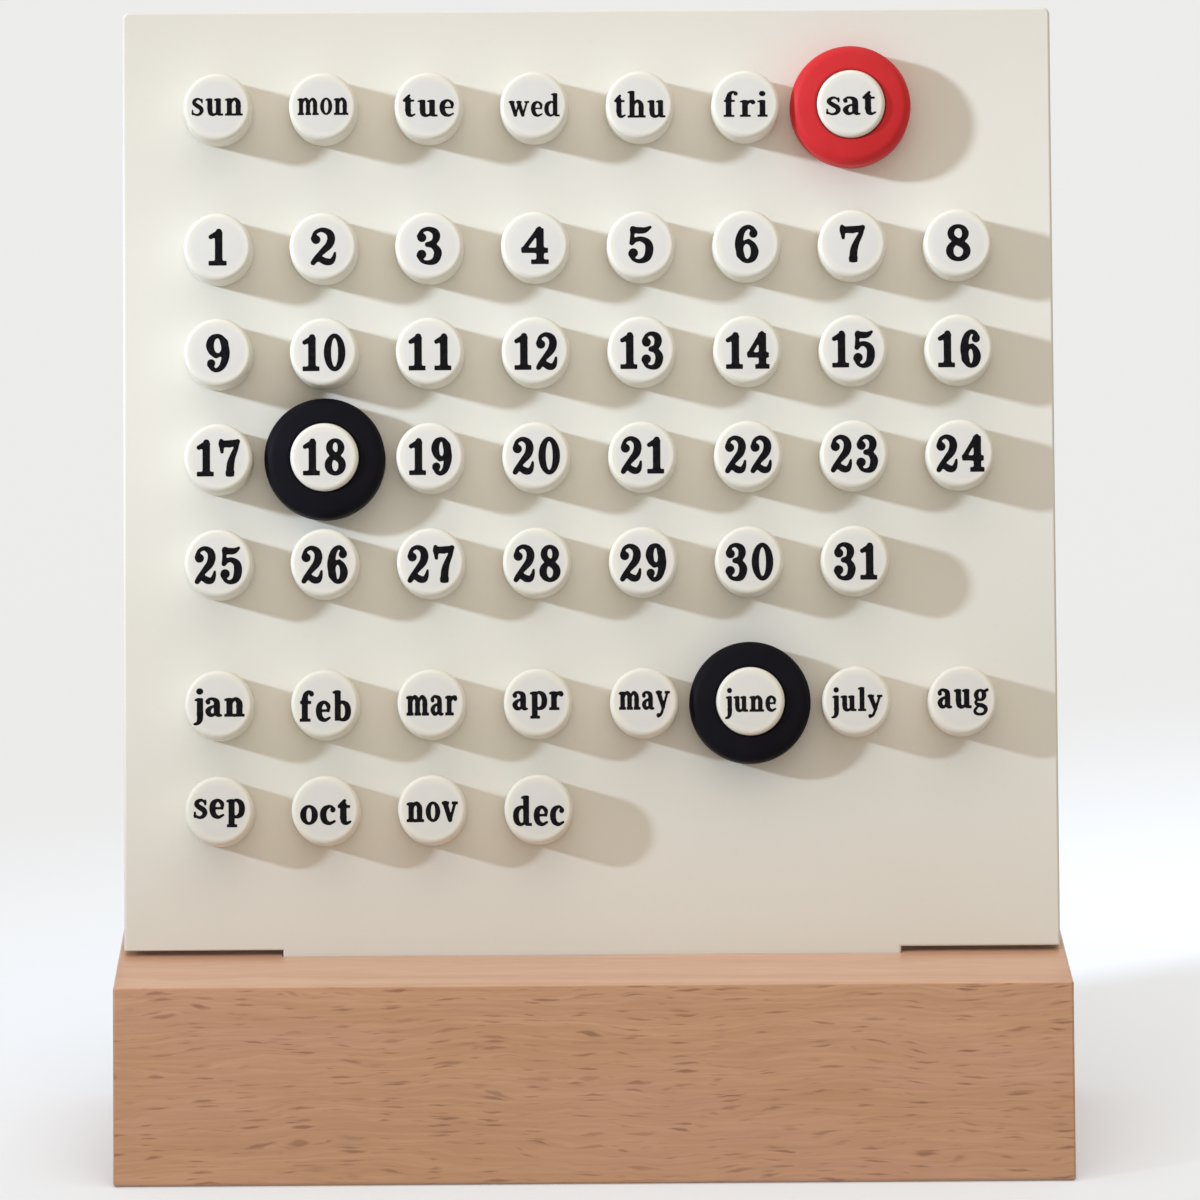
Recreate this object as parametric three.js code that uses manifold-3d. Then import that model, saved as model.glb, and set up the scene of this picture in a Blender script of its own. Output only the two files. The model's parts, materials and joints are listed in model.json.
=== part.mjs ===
// Perpetual desk calendar: a pale panel that stands, leaning back, in a beech block.
// Turned pegs carry the weekdays, dates and months, and three loose rings mark today on three of them.
// Millimetres, +Z up. The origin is the centre of the block's underside, and the front faces -Y.

import * as THREE from "three";
import { mergeVertices } from "three/addons/utils/BufferGeometryUtils.js";
import Module from "manifold-3d";

const wasm = await Module();
wasm.setup();

// Whole calendar
const leanDegrees = 17; // of the panel and of the block's front face, from upright
const seatGap = 0.3; // between a piece and the one it rests against
const cutOverrun = 2; // how far a cutting tool runs past the face it opens

// Peg, a turned dowel with a shouldered head
const pegRadius = 5.8;
const pegLength = 8; // of the head, from the panel's face to the printed face
const pegNoseRadius = 1.1; // rounding of the printed face's rim
const pegShoulder = 1.8; // step from the head in to the tenon
const pegHoleClearance = 0.3; // round the tenon and past its end
const pegSides = 14;

// Grid of pegs. Spacings and margins are the clear widths between heads, and from heads to the panel's edges.
const columns = 8;
const pegSpacing = 6.4;
const groupSpacing = 6; // added between weekdays and dates, and between dates and months
const sideMargin = 10.7;
const topMargin = 11.8;
const bottomMargin = 18.6; // down to the block's top

// Panel
const panelThickness = 9;
const panelCornerRadius = 1.2;
const panelEdgeChamfer = 0.5;
const pegHoleFloor = 2.7; // left behind each blind hole
const shoulderWidth = 27; // either side of the tab
const shoulderGap = 0.9; // slit between the shoulders and the block's top
const tabCornerRadius = 2;

// Beech block
const baseOverhang = 1; // past each side of the panel
const baseHeight = 32;
const frontLedge = 20; // of the block's top in front of the panel
const rearLedge = 20.8; // of the block's top behind the panel
const baseEdgeRadius = 1.1;
const baseEndChamfer = 0.7;
const mortiseDepth = 15; // along the panel's own plane
const mortiseSideClearance = 0.4;
const mortiseFaceClearance = 0.3;

// Ring
const ringPegClearance = 0.35;
const ringWall = 4.15; // from its hole to its rim
const pegProud = 0.9; // how far the peg's printed face stands out of a seated ring
const ringEdgeRadius = 1;
const ringSides = 32;

// Steps in a quarter turn of each rounding
const noseSteps = 2;
const ringEdgeSteps = 2;
const cornerSteps = 3;

const weekdays = ["sun", "mon", "tue", "wed", "thu", "fri", "sat"];
const dates = Array.from({ length: 31 }, (_, index) => `day_${String(index + 1).padStart(2, "0")}`);
const months = ["jan", "feb", "mar", "apr", "may", "june", "july", "aug", "sep", "oct", "nov", "dec"];
const ringed = { weekday_ring: "sat", date_ring: "day_18", month_ring: "june" };

// Finishes
const beech = new THREE.MeshStandardMaterial({ color: 0xb78b69, roughness: 0.55, metalness: 0 });
const panelPaint = new THREE.MeshStandardMaterial({ color: 0xe6e2d8, roughness: 0.6, metalness: 0 });
const pegPaint = new THREE.MeshStandardMaterial({ color: 0xe6e6e3, roughness: 0.45, metalness: 0 });
const redPlastic = new THREE.MeshStandardMaterial({ color: 0xc8282f, roughness: 0.5, metalness: 0 });
const blackPlastic = new THREE.MeshStandardMaterial({ color: 0x1b1b20, roughness: 0.55, metalness: 0 });

const lean = THREE.MathUtils.degToRad(leanDegrees);

// The rows of pegs, in three groups: a new group starts a row of its own, a little further down.
const groups = [weekdays, dates, months];
const rowsOf = (names) => Math.ceil(names.length / columns);
const pegPitch = 2 * pegRadius + pegSpacing;
const rowCount = groups.reduce((count, names) => count + rowsOf(names), 0);
const gridWidth = (columns - 1) * pegPitch;
const gridHeight = (rowCount - 1) * pegPitch + (groups.length - 1) * groupSpacing;

// The grid sets the panel, and the panel sets the block.
const panelWidth = gridWidth + 2 * (pegRadius + sideMargin);
const panelHeight = gridHeight + 2 * pegRadius + topMargin + bottomMargin;
const tabWidth = panelWidth - 2 * shoulderWidth;
const baseWidth = panelWidth + 2 * baseOverhang;
const baseDepth = baseHeight * Math.tan(lean) + frontLedge + panelThickness / Math.cos(lean) + rearLedge;

// The block's lower front edge, its upper front edge, and the line where the panel's face meets its top
const baseFrontY = -baseDepth / 2;
const baseTopFrontY = baseFrontY + baseHeight * Math.tan(lean);
const panelFootY = baseTopFrontY + frontLedge;

const pegTenonRadius = pegRadius - pegShoulder;

// Booleans work on closed meshes with shared vertices.
function solidOf(geometry) {
  const bare = geometry.clone();
  bare.deleteAttribute("normal");
  bare.deleteAttribute("uv");
  const merged = mergeVertices(bare);
  return new wasm.Manifold(
    new wasm.Mesh({
      numProp: 3,
      vertProperties: merged.attributes.position.array,
      triVerts: new Uint32Array(merged.index.array),
    }),
  );
}

function geometryOf(solid) {
  const mesh = solid.getMesh();
  const geometry = new THREE.BufferGeometry();
  geometry.setAttribute("position", new THREE.BufferAttribute(mesh.vertProperties, 3));
  geometry.setIndex(new THREE.BufferAttribute(mesh.triVerts, 1));
  const faceted = geometry.toNonIndexed();
  faceted.computeVertexNormals();
  return faceted;
}

function cutAway(geometry, tools) {
  const cut = tools.reduce((solid, tool) => solid.subtract(solidOf(tool)), solidOf(geometry));
  return geometryOf(cut);
}

// A closed outline, listed anticlockwise, whose corners are rounded by their own radii
function roundedShape(corners) {
  const shape = new THREE.Shape();
  corners.forEach(({ point, radius }, index) => {
    const goTo = (spot) => (index === 0 ? shape.moveTo(spot.x, spot.y) : shape.lineTo(spot.x, spot.y));
    if (radius === 0) {
      goTo(point);
      return;
    }
    const before = corners[(index + corners.length - 1) % corners.length].point;
    const after = corners[(index + 1) % corners.length].point;
    const towardsBefore = before.clone().sub(point).normalize();
    const towardsAfter = after.clone().sub(point).normalize();
    const halfAngle = Math.acos(towardsBefore.dot(towardsAfter)) / 2;
    const inward = towardsBefore.clone().add(towardsAfter).normalize();
    const centre = point.clone().addScaledVector(inward, radius / Math.sin(halfAngle));
    const start = point.clone().addScaledVector(towardsBefore, radius / Math.tan(halfAngle));
    const end = point.clone().addScaledVector(towardsAfter, radius / Math.tan(halfAngle));
    goTo(start);
    const startAngle = start.sub(centre).angle();
    const endAngle = end.sub(centre).angle();
    shape.absarc(centre.x, centre.y, radius, startAngle, endAngle, false);
  });
  shape.closePath();
  return shape;
}

// A straight bar of the given outline whose rim is chamfered at both ends, from z = 0 to z = length
function chamferedExtrusion(shape, length, chamfer) {
  const bar = new THREE.ExtrudeGeometry(shape, {
    depth: length - 2 * chamfer,
    bevelEnabled: true,
    bevelThickness: chamfer,
    bevelSize: chamfer,
    bevelOffset: -chamfer,
    bevelSegments: 1,
    curveSegments: cornerSteps,
  });
  return bar.translate(0, 0, chamfer);
}

// Points of a quarter round between two directions, for a lathe profile
function quarterRound(centreX, centreY, radius, fromAngle, steps) {
  return Array.from({ length: steps + 1 }, (_, step) => {
    const angle = fromAngle + (step / steps) * (Math.PI / 2);
    return new THREE.Vector2(centreX + radius * Math.cos(angle), centreY + radius * Math.sin(angle));
  });
}

// The group that lies in the panel's front face: x across, y up the panel, z out of it towards the user.
// Its origin is on the block's top, so the panel's own plane sets every place on it.
function panelFrame() {
  const frame = new THREE.Group();
  frame.position.set(0, panelFootY, baseHeight);
  frame.rotation.x = Math.PI / 2 - lean;
  frame.updateMatrix();
  return frame;
}

// A box given by its lowest and highest corners
function boxBetween(low, high) {
  const size = high.clone().sub(low);
  const centre = low.clone().add(high).divideScalar(2);
  return new THREE.BoxGeometry(size.x, size.y, size.z).translate(centre.x, centre.y, centre.z);
}

// The block: its section is extruded from end to end, then the leaning mortise is cut.
function baseGeometry() {
  const corner = (y, z) => ({ point: new THREE.Vector2(y, z), radius: baseEdgeRadius });
  const section = roundedShape([
    corner(baseFrontY, 0),
    corner(baseDepth / 2, 0),
    corner(baseDepth / 2, baseHeight),
    corner(baseTopFrontY, baseHeight),
  ]);
  const block = chamferedExtrusion(section, baseWidth, baseEndChamfer).translate(0, 0, -baseWidth / 2);
  // The section's own x and y become the object's y and z, and its length runs along x.
  block.applyMatrix4(
    new THREE.Matrix4().makeBasis(
      new THREE.Vector3(0, 1, 0),
      new THREE.Vector3(0, 0, 1),
      new THREE.Vector3(1, 0, 0),
    ),
  );
  const halfLength = tabWidth / 2 + mortiseSideClearance;
  const mortise = boxBetween(
    new THREE.Vector3(-halfLength, -mortiseDepth, -panelThickness - mortiseFaceClearance),
    new THREE.Vector3(halfLength, cutOverrun + panelThickness, mortiseFaceClearance),
  ).applyMatrix4(panelFrame().matrix);
  return cutAway(block, [mortise]);
}

// Each peg's name and its place on the panel's front face
function pegPlaces() {
  const places = [];
  let y = panelHeight - topMargin - pegRadius;
  for (const names of groups) {
    names.forEach((name, index) => {
      const row = Math.floor(index / columns);
      const column = index % columns;
      places.push({ name, x: column * pegPitch - gridWidth / 2, y: y - row * pegPitch });
    });
    y -= rowsOf(names) * pegPitch + groupSpacing;
  }
  return places;
}

// The panel: a tabbed outline, with level shoulders and a blind hole for each peg
function panelGeometry(places) {
  const halfPanel = panelWidth / 2;
  const halfTab = tabWidth / 2;
  const tabEnd = seatGap - mortiseDepth;
  const shoulder = -panelThickness * Math.tan(lean);
  const corner = (x, y, radius) => ({ point: new THREE.Vector2(x, y), radius });
  const outline = roundedShape([
    corner(-halfTab, tabEnd, tabCornerRadius),
    corner(halfTab, tabEnd, tabCornerRadius),
    corner(halfTab, shoulder, 0),
    corner(halfPanel, shoulder, 0),
    corner(halfPanel, panelHeight, panelCornerRadius),
    corner(-halfPanel, panelHeight, panelCornerRadius),
    corner(-halfPanel, shoulder, 0),
    corner(-halfTab, shoulder, 0),
  ]);
  const board = chamferedExtrusion(outline, panelThickness, panelEdgeChamfer).translate(0, 0, -panelThickness);

  // The shoulders are sawn level, parallel to the block's top, so that the slit is even through the thickness.
  const intoPanel = panelFrame().matrix.clone().invert();
  const shoulderCuts = [-1, 1].map((side) => {
    const inner = side * halfTab;
    const outer = side * (halfPanel + cutOverrun);
    return boxBetween(
      new THREE.Vector3(Math.min(inner, outer), baseTopFrontY, 0),
      new THREE.Vector3(Math.max(inner, outer), baseDepth / 2, baseHeight + shoulderGap),
    ).applyMatrix4(intoPanel);
  });
  const holeRadius = pegTenonRadius + pegHoleClearance;
  const holeDepth = panelThickness - pegHoleFloor;
  const holes = places.map(({ x, y }) =>
    new THREE.CylinderGeometry(holeRadius, holeRadius, holeDepth + cutOverrun, pegSides)
      .rotateX(Math.PI / 2)
      .translate(x, y, (cutOverrun - holeDepth) / 2),
  );
  return cutAway(board, [...shoulderCuts, ...holes]);
}

// A peg, turned about its own axis: tenon, shoulder and head with a rounded rim. The head seats on z = 0.
function pegGeometry() {
  const pegTenonLength = panelThickness - pegHoleFloor - pegHoleClearance;
  const profile = [
    new THREE.Vector2(0, -pegTenonLength),
    new THREE.Vector2(pegTenonRadius, -pegTenonLength),
    new THREE.Vector2(pegTenonRadius, seatGap),
    new THREE.Vector2(pegRadius, seatGap),
    ...quarterRound(pegRadius - pegNoseRadius, pegLength - pegNoseRadius, pegNoseRadius, 0, noseSteps),
    new THREE.Vector2(0, pegLength),
  ];
  return new THREE.LatheGeometry(profile, pegSides).rotateX(Math.PI / 2);
}

// A ring: a rounded rectangle turned round the peg's axis
function ringGeometry() {
  const innerRadius = pegRadius + ringPegClearance;
  const outerX = innerRadius + ringWall - ringEdgeRadius;
  const innerX = innerRadius + ringEdgeRadius;
  const backY = seatGap + ringEdgeRadius;
  const frontY = pegLength - pegProud - ringEdgeRadius;
  const corners = [
    [outerX, backY, -Math.PI / 2],
    [outerX, frontY, 0],
    [innerX, frontY, Math.PI / 2],
    [innerX, backY, Math.PI],
  ];
  const section = corners.flatMap(([x, y, angle]) => quarterRound(x, y, ringEdgeRadius, angle, ringEdgeSteps));
  section.push(section[0].clone());
  return new THREE.LatheGeometry(section, ringSides).rotateX(Math.PI / 2);
}

function namedMesh(name, geometry, material) {
  const mesh = new THREE.Mesh(geometry, material);
  mesh.name = name;
  return mesh;
}

const calendar = new THREE.Group();
calendar.add(namedMesh("base_block", baseGeometry(), beech));

const panel = panelFrame();
calendar.add(panel);
const places = pegPlaces();
panel.add(namedMesh("calendar_panel", panelGeometry(places), panelPaint));

const peg = pegGeometry();
for (const { name, x, y } of places) {
  const mesh = namedMesh(`peg_${name}`, peg, pegPaint);
  mesh.position.set(x, y, 0);
  panel.add(mesh);
}

const ring = ringGeometry();
for (const [name, pegName] of Object.entries(ringed)) {
  const place = places.find((candidate) => candidate.name === pegName);
  const mesh = namedMesh(name, ring, name === "weekday_ring" ? redPlastic : blackPlastic);
  mesh.position.set(place.x, place.y, 0);
  panel.add(mesh);
}

export default calendar;
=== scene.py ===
"""Looks of a perpetual desk calendar: a painted panel of turned pegs that leans in a beech block.

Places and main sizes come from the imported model, in metres. Each part is built again here with fine
roundings, the labels are drawn and printed on the pegs, and each surface gets its own finish.
"""

import json
import math

import bmesh
import bpy
import numpy as np
from mathutils import Matrix, Vector
from mathutils.geometry import delaunay_2d_cdt


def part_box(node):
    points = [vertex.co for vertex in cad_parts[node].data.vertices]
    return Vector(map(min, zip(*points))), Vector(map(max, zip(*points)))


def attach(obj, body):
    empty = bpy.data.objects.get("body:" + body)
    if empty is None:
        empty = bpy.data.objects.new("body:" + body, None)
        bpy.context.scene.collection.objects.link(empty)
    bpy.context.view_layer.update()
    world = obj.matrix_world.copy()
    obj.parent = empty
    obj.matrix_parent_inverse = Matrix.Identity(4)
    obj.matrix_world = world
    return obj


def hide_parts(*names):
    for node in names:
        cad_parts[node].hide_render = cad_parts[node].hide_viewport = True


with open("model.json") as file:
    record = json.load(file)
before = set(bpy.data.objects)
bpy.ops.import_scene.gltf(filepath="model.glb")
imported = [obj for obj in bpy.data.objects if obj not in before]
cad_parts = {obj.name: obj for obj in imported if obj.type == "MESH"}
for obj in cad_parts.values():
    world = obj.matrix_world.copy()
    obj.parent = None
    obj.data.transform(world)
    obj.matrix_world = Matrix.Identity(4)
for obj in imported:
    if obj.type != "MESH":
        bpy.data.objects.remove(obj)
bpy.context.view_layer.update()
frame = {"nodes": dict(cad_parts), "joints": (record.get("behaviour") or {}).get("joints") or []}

MM = 0.001

# Roundings and steps of the fine shapes
TURNED_SIDES = 96
ROUND_STEPS = 8
PEG_NOSE_RADIUS = 0.8 * MM
PEG_BREAK = 0.15 * MM  # of the head's lower edge and the tenon's end
HEAD_BAND = 1.0 * MM  # in from the head's rim, where its seat is read off
RING_BACK_RADIUS = 1.0 * MM
RING_OUTER_RADIUS = 2.0 * MM
RING_INNER_RADIUS = 0.45 * MM
RING_SLOPE = 10  # degrees, of its front, down towards the rim
RING_HOLE_GAP = 0.12 * MM  # round the peg
PANEL_EDGE_RADIUS = 0.5 * MM
PANEL_CORNER_RADIUS = 1.2 * MM
TAB_CORNER_RADIUS = 2.0 * MM
TAB_MARGIN = 2.0 * MM  # down from the block's top, past which only the panel's tab reaches
SHOULDER_MARGIN = 1.0 * MM  # out from the tab, past which the shoulders are read off
HOLE_CLEARANCE = 0.3 * MM
BLOCK_EDGE_RADIUS = 0.6 * MM
BLOCK_END_RADIUS = 0.5 * MM
BLOCK_END_MARGIN = 5.0 * MM  # in from the block's ends, past which only the mortise reaches down
MORTISE_RIM_RADIUS = 0.08 * MM
MORTISE_RIM_STEPS = 3
MORTISE_RIM_ANGLE = math.radians(60)
MORTISE_GAP = 0.15 * MM  # round the tab
SHARP_ANGLE = math.radians(35)
MERGE_DISTANCE = 0.001 * MM
TRIANGLES_INSIDE = 1  # the fill's output of triangles within its outermost loop
FILL_TOLERANCE = 1e-9

# Labels, printed on the pegs
GLYPH_SCALE = 100  # what a figure and a small letter are drawn high
FIGURE_HEIGHT = 6.2 * MM
FIGURE_WEIGHT = 1.3  # added all round a figure's strokes, in hundredths of its height
MONTH_WEIGHT = 1.6  # added all round a month's strokes, in hundredths of its small letters' height
PAIR_WIDTH = 118  # of two figures, in the same hundredths
PAIR_GAPS = (12, 24)  # least and most between them
PAIR_SHARE = 0.8  # a figure's strokes are drawn in to this share of their reach across, in a pair
PAIR_ONE_SHARE = 0.93
WORD_WIDTH = 8.7 * MM
LETTER_GAP = 9  # hundredths of a small letter's height
WIDEST_STRETCH = 1.2
INK_GAP = 0.004 * MM  # under the ink
INK_THICKNESS = 0.02 * MM
OUTLINE_STEP = 2.0  # of the grid that a glyph's outline is traced on, in its own hundredths
OUTLINE_TOLERANCE = 0.25
OUTLINE_BLEND = 5.0  # how far strokes flow into each other where they meet

# Height of each word's small letters, in millimetres
WEEKDAY_SIZES = {"sun": 3.1, "mon": 3.0, "tue": 3.0, "wed": 2.7, "thu": 3.1, "fri": 3.0, "sat": 3.2}
MONTH_SIZES = {
    "jan": 3.2, "feb": 3.5, "mar": 3.4, "apr": 3.2, "may": 3.1, "june": 2.7, "july": 2.7,
    "aug": 3.3, "sep": 3.3, "oct": 3.3, "nov": 3.4, "dec": 3.4,
}
WORD_SIZES = WEEKDAY_SIZES | MONTH_SIZES
DATES = [str(day) for day in range(1, 32)]

# How far a print sits below its peg's centre
DATES_IN_ROW = 8
DATE_DROPS = (0.06 * MM, 0.2 * MM, 0.05 * MM, 0.38 * MM)  # by row
MONTH_DROP = 0.42 * MM

# Camera
CAMERA_AIM = Vector((1.54, 0, 93.49)) * MM
CAMERA_DISTANCE = 1400 * MM
CAMERA_YAW = math.radians(0.48)
CAMERA_PITCH = math.radians(12.12)
CAMERA_ROLL = math.radians(-0.26)
CAMERA_LENS = 249.53  # millimetres
SENSOR_WIDTH = 36  # millimetres

# Light and floor, in metres and watts
KEY_TRAVEL = Vector((0.856, 0.385, -0.345))  # the way its light goes
KEY_AIM = Vector((5, 114, 0)) * MM  # on the panel
KEY_LEVEL = Vector((1, 0, 0.2))  # along the spot's lower edge
KEY_DISTANCE = 2.2
KEY_SPREAD = math.radians(5.2)
KEY_STRETCH = 2.6  # of the spot's width over its height
KEY_BLEND = 0.63
KEY_RADIUS = 0.085
KEY_COLOUR = (0.84, 1.0, 1.2)
KEY_POWER = 171
SKY_COLOUR = (1.0, 0.926, 0.838)
SKY_STRENGTH = 0.20
GROUND_STRENGTH = 0.45
HORIZON_BLEND = 0.1  # above and below the horizon
ZENITH_STRENGTH = 1.5
ZENITH_FOCUS = 3
FACE_STRENGTH = 0.50
FACE_FOCUS = 4
FLOOR_SIZE = 12.0
FLOOR_DROP = 0.05 * MM
FLOOR_COLOUR = (0.83, 0.895, 0.98)
FLOOR_GLOW = 0.12

nodes = frame["nodes"]
joint_axes = {joint["name"]: Vector(joint["axis"]) for joint in frame["joints"]}
up_panel = joint_axes["panel_lift"]
out_of_panel = joint_axes["weekday_ring_slide"]
lean = math.atan2(up_panel.y, up_panel.z)


def points_of(node):
    """A CAD node's vertices as an array."""
    return np.array([vertex.co[:] for vertex in nodes[node].data.vertices])


def panel_frame():
    """Places x across, y up the panel and z out of it, from where its face meets the block's top."""
    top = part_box("base_block")[1].z
    face = (points_of("calendar_panel") @ np.array(out_of_panel)).max()
    origin = Vector((0, (face - out_of_panel.z * top) / out_of_panel.y, top))
    axes = Matrix((up_panel.cross(out_of_panel), up_panel, out_of_panel)).transposed()
    return Matrix.Translation(origin) @ axes.to_4x4()


PANEL = panel_frame()
PEG_RADIUS = (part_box("peg_sun")[1].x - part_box("peg_sun")[0].x) / 2


def on_panel(node):
    """A CAD node's vertices in the panel's own frame."""
    inverse = np.array(PANEL.inverted())
    return points_of(node) @ inverse[:3, :3].T + inverse[:3, 3]


def turning_axis(node):
    """Where a turned node's axis meets the panel's face."""
    points = on_panel(node)
    front = points[points[:, 2] > points[:, 2].max() - PEG_BREAK]
    return Vector((*front[:, :2].mean(axis=0), 0))


def about_axis(node):
    """A turned node's vertices, with its axis as z and the panel's face as its foot."""
    return on_panel(node) - np.array(turning_axis(node))


# Mesh making


def added(name, data):
    """A new object in the scene."""
    made = bpy.data.objects.new(name, data)
    bpy.context.scene.collection.objects.link(made)
    return made


def piece(name, mesh, place, body, material, replaced=()):
    """Shows a mesh as a piece of the calendar."""
    made = added(name, mesh)
    made.matrix_world = place
    if not mesh.materials:
        mesh.materials.append(material)
    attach(made, body)
    if replaced:
        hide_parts(*replaced)


def mesh_of(name, points, faces):
    mesh = bpy.data.meshes.new(name)
    mesh.from_pydata([tuple(point) for point in points], [], [tuple(face) for face in faces])
    mesh.validate()
    return mesh


def smooth(mesh):
    """Rounds the shading, but keeps the edges that turn sharply."""
    mesh.shade_smooth()
    mesh.set_sharp_from_angle(angle=SHARP_ANGLE)
    return mesh


def arc(centre, radius, start, end, steps=ROUND_STEPS):
    """Points round a centre from one angle, in degrees, to another."""
    angles = np.radians(np.linspace(start, end, steps + 1))
    return [(centre[0] + radius * math.cos(a), centre[1] + radius * math.sin(a)) for a in angles]


def turned(name, profile, closed):
    """Turns a profile of radii and heights about z. An open profile starts and ends on the axis."""
    angles = np.linspace(0, 2 * math.pi, TURNED_SIDES, endpoint=False)
    points = []
    rings = []
    for radius, height in profile:
        if radius == 0:
            rings.append([len(points)] * TURNED_SIDES)
            points.append((0, 0, height))
            continue
        rings.append(range(len(points), len(points) + TURNED_SIDES))
        points += [(radius * math.cos(a), radius * math.sin(a), height) for a in angles]
    pairs = list(zip(rings, rings[1:]))
    if closed:
        pairs.append((rings[-1], rings[0]))
    faces = []
    for low, high in pairs:
        for i in range(TURNED_SIDES):
            j = (i + 1) % TURNED_SIDES
            corners = [low[i], low[j], high[j], high[i]]
            faces.append(list(dict.fromkeys(corners)))
    return smooth(mesh_of(name, points, faces))


def bridge(first, second, skip=()):
    """Faces between two loops of as many points."""
    count = len(first)
    spans = [i for i in range(count) if i not in skip]
    return [(first[i], first[(i + 1) % count], second[(i + 1) % count], second[i]) for i in spans]


def filled(loops):
    """Fills plane loops, with the inner ones left as holes. Returns its points and triangles."""
    points = [Vector(point) for loop in loops for point in loop]
    edges = []
    start = 0
    for loop in loops:
        edges += [(start + i, start + (i + 1) % len(loop)) for i in range(len(loop))]
        start += len(loop)
    made, _, triangles, *_ = delaunay_2d_cdt(points, edges, [], TRIANGLES_INSIDE, FILL_TOLERANCE)
    spots = np.array([point[:] for point in made])
    centres = spots[np.array(triangles)].mean(axis=1)
    around = sum(encloses(np.array(loop), centres) for loop in loops)
    return spots, [list(triangle) for triangle, count in zip(triangles, around) if count % 2]


def encloses(loop, places):
    """1 for each place that lies within a loop, and 0 for the rest."""
    x0, y0 = loop.T
    x1, y1 = np.roll(loop, -1, axis=0).T
    x, y = places[:, :1], places[:, 1:]
    spans = (y0 > y) != (y1 > y)
    rise = np.where(y1 == y0, 1, y1 - y0)
    crossed = spans & (x < x0 + (y - y0) * (x1 - x0) / rise)
    return crossed.sum(axis=1) % 2


def rim_steps(radius):
    """Inset and depth along a rounded rim, from the side's edge to the face."""
    angles = np.linspace(0, math.pi / 2, ROUND_STEPS + 1)
    return [(radius * (1 - math.cos(a)), radius * (1 - math.sin(a))) for a in angles]


# Pegs and rings


def peg_mesh():
    """A peg with its head, shoulder and tenon, whose head seats just clear of the panel."""
    points = about_axis("peg_sun")
    radii = np.hypot(points[:, 0], points[:, 1])
    head = radii.max()
    tenon = radii[points[:, 2] < 0].max()
    foot, face = points[:, 2].min(), points[:, 2].max()
    seat = points[(radii > head - HEAD_BAND) & (points[:, 2] < face / 2), 2].min()
    profile = [(0, foot), (tenon - PEG_BREAK, foot), (tenon, foot + PEG_BREAK), (tenon, seat)]
    profile += [(head - PEG_BREAK, seat), (head, seat + PEG_BREAK)]
    profile += arc((head - PEG_NOSE_RADIUS, face - PEG_NOSE_RADIUS), PEG_NOSE_RADIUS, 0, 90)
    profile.append((0, face))
    return turned("turned_peg", profile, closed=False)


def ring_mesh(name):
    """A ring whose front slopes gently down to a well rounded rim."""
    points = about_axis(name)
    peg = about_axis("peg_sun")
    hole = np.hypot(peg[:, 0], peg[:, 1]).max() + RING_HOLE_GAP
    rim = np.hypot(points[:, 0], points[:, 1]).max()
    back, front = points[:, 2].min(), points[:, 2].max()
    square = 90 - RING_SLOPE
    inner = (hole + RING_INNER_RADIUS, front - RING_INNER_RADIUS)
    inner_arc = arc(inner, RING_INNER_RADIUS, square, 180)
    across = rim - RING_OUTER_RADIUS
    reach = across + RING_OUTER_RADIUS * math.cos(math.radians(square)) - inner_arc[0][0]
    fall = reach * math.tan(math.radians(RING_SLOPE))
    up = inner_arc[0][1] - fall - RING_OUTER_RADIUS * math.sin(math.radians(square))
    section = arc((rim - RING_BACK_RADIUS, back + RING_BACK_RADIUS), RING_BACK_RADIUS, -90, 0)
    section += arc((across, up), RING_OUTER_RADIUS, 0, square)
    section += inner_arc
    section += arc((hole + RING_BACK_RADIUS, back + RING_BACK_RADIUS), RING_BACK_RADIUS, 180, 270)
    return turned(name, section, closed=True)


# Panel


def panel_outline(shape, inset, depth):
    """The panel's tabbed outline, drawn in by an inset, at a depth behind its face."""
    half, tab = shape["half"] - inset, shape["tab"] - inset
    top, end = shape["top"] - inset, shape["end"] + inset
    shoulder = shape["slit"] / math.cos(lean) + depth * math.tan(lean) + inset
    tab_arc = TAB_CORNER_RADIUS - inset
    top_arc = PANEL_CORNER_RADIUS - inset
    right = arc((tab - tab_arc, end + tab_arc), tab_arc, -90, 0)
    right += [(tab, shoulder), (half, shoulder)]
    right += arc((half - top_arc, top - top_arc), top_arc, 0, 90)
    left = [(-x, y) for x, y in reversed(right)]
    return right + left


def panel_shape():
    """The panel's half widths, ends and slit, read off the CAD node."""
    points = on_panel("calendar_panel")
    tab = np.abs(points[points[:, 1] < -TAB_MARGIN, 0]).max()
    world = points_of("calendar_panel")
    shoulders = world[np.abs(world[:, 0]) > tab + SHOULDER_MARGIN]
    return {
        "half": np.abs(points[:, 0]).max(),
        "tab": tab,
        "top": points[:, 1].max(),
        "end": points[:, 1].min(),
        "slit": shoulders[:, 2].min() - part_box("base_block")[1].z,
        "thickness": -points[:, 2].min(),
    }


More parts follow.
